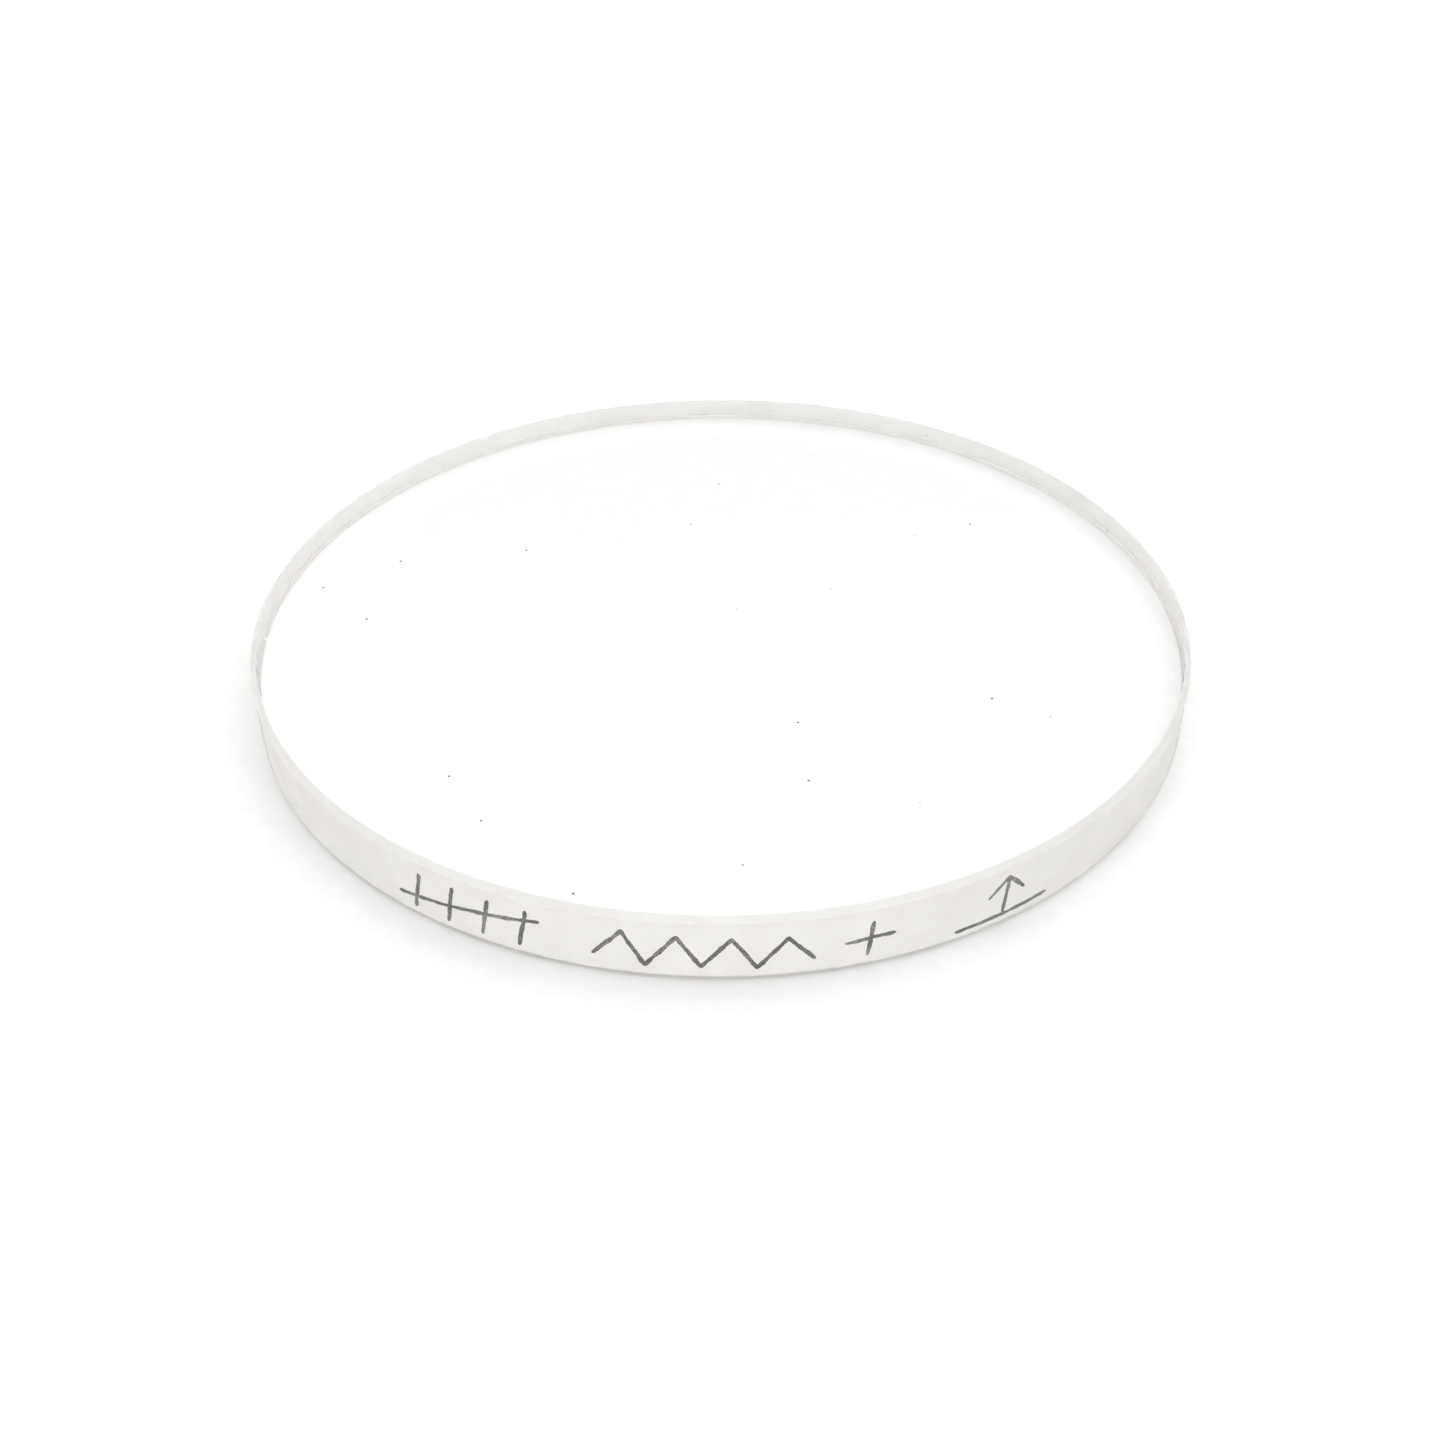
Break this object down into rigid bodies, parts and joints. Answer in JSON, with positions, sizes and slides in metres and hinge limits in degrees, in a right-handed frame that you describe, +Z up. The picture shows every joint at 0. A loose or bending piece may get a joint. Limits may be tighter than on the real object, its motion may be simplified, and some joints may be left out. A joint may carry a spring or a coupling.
{
  "type": "optical glass disc",
  "caption": "Flat clear glass disc with two polished faces, a fine-ground rim, a narrow 45 degree bevel round each face and pencil check marks on the rim.",
  "frame": {"origin": "centre of the lower polished face, on the disc's own axis", "axes": "+Z up along the disc's axis, out of the upper face; the pencil marks are on the -Y side of the rim and read upright from there; +X to the reader's right"},
  "size_m": [0.1, 0.1, 0.0073],
  "materials": {
    "optical_glass": "polished faces, fine-ground rim and bevels",
    "graphite": "dull grey pencil line"
  },
  "bodies": {
    "root": {"glass_disc": "optical_glass", "tally_marks": "graphite", "witness_zigzag": "graphite", "centre_cross": "graphite", "face_arrow": "graphite"}
  },
  "joints": []
}
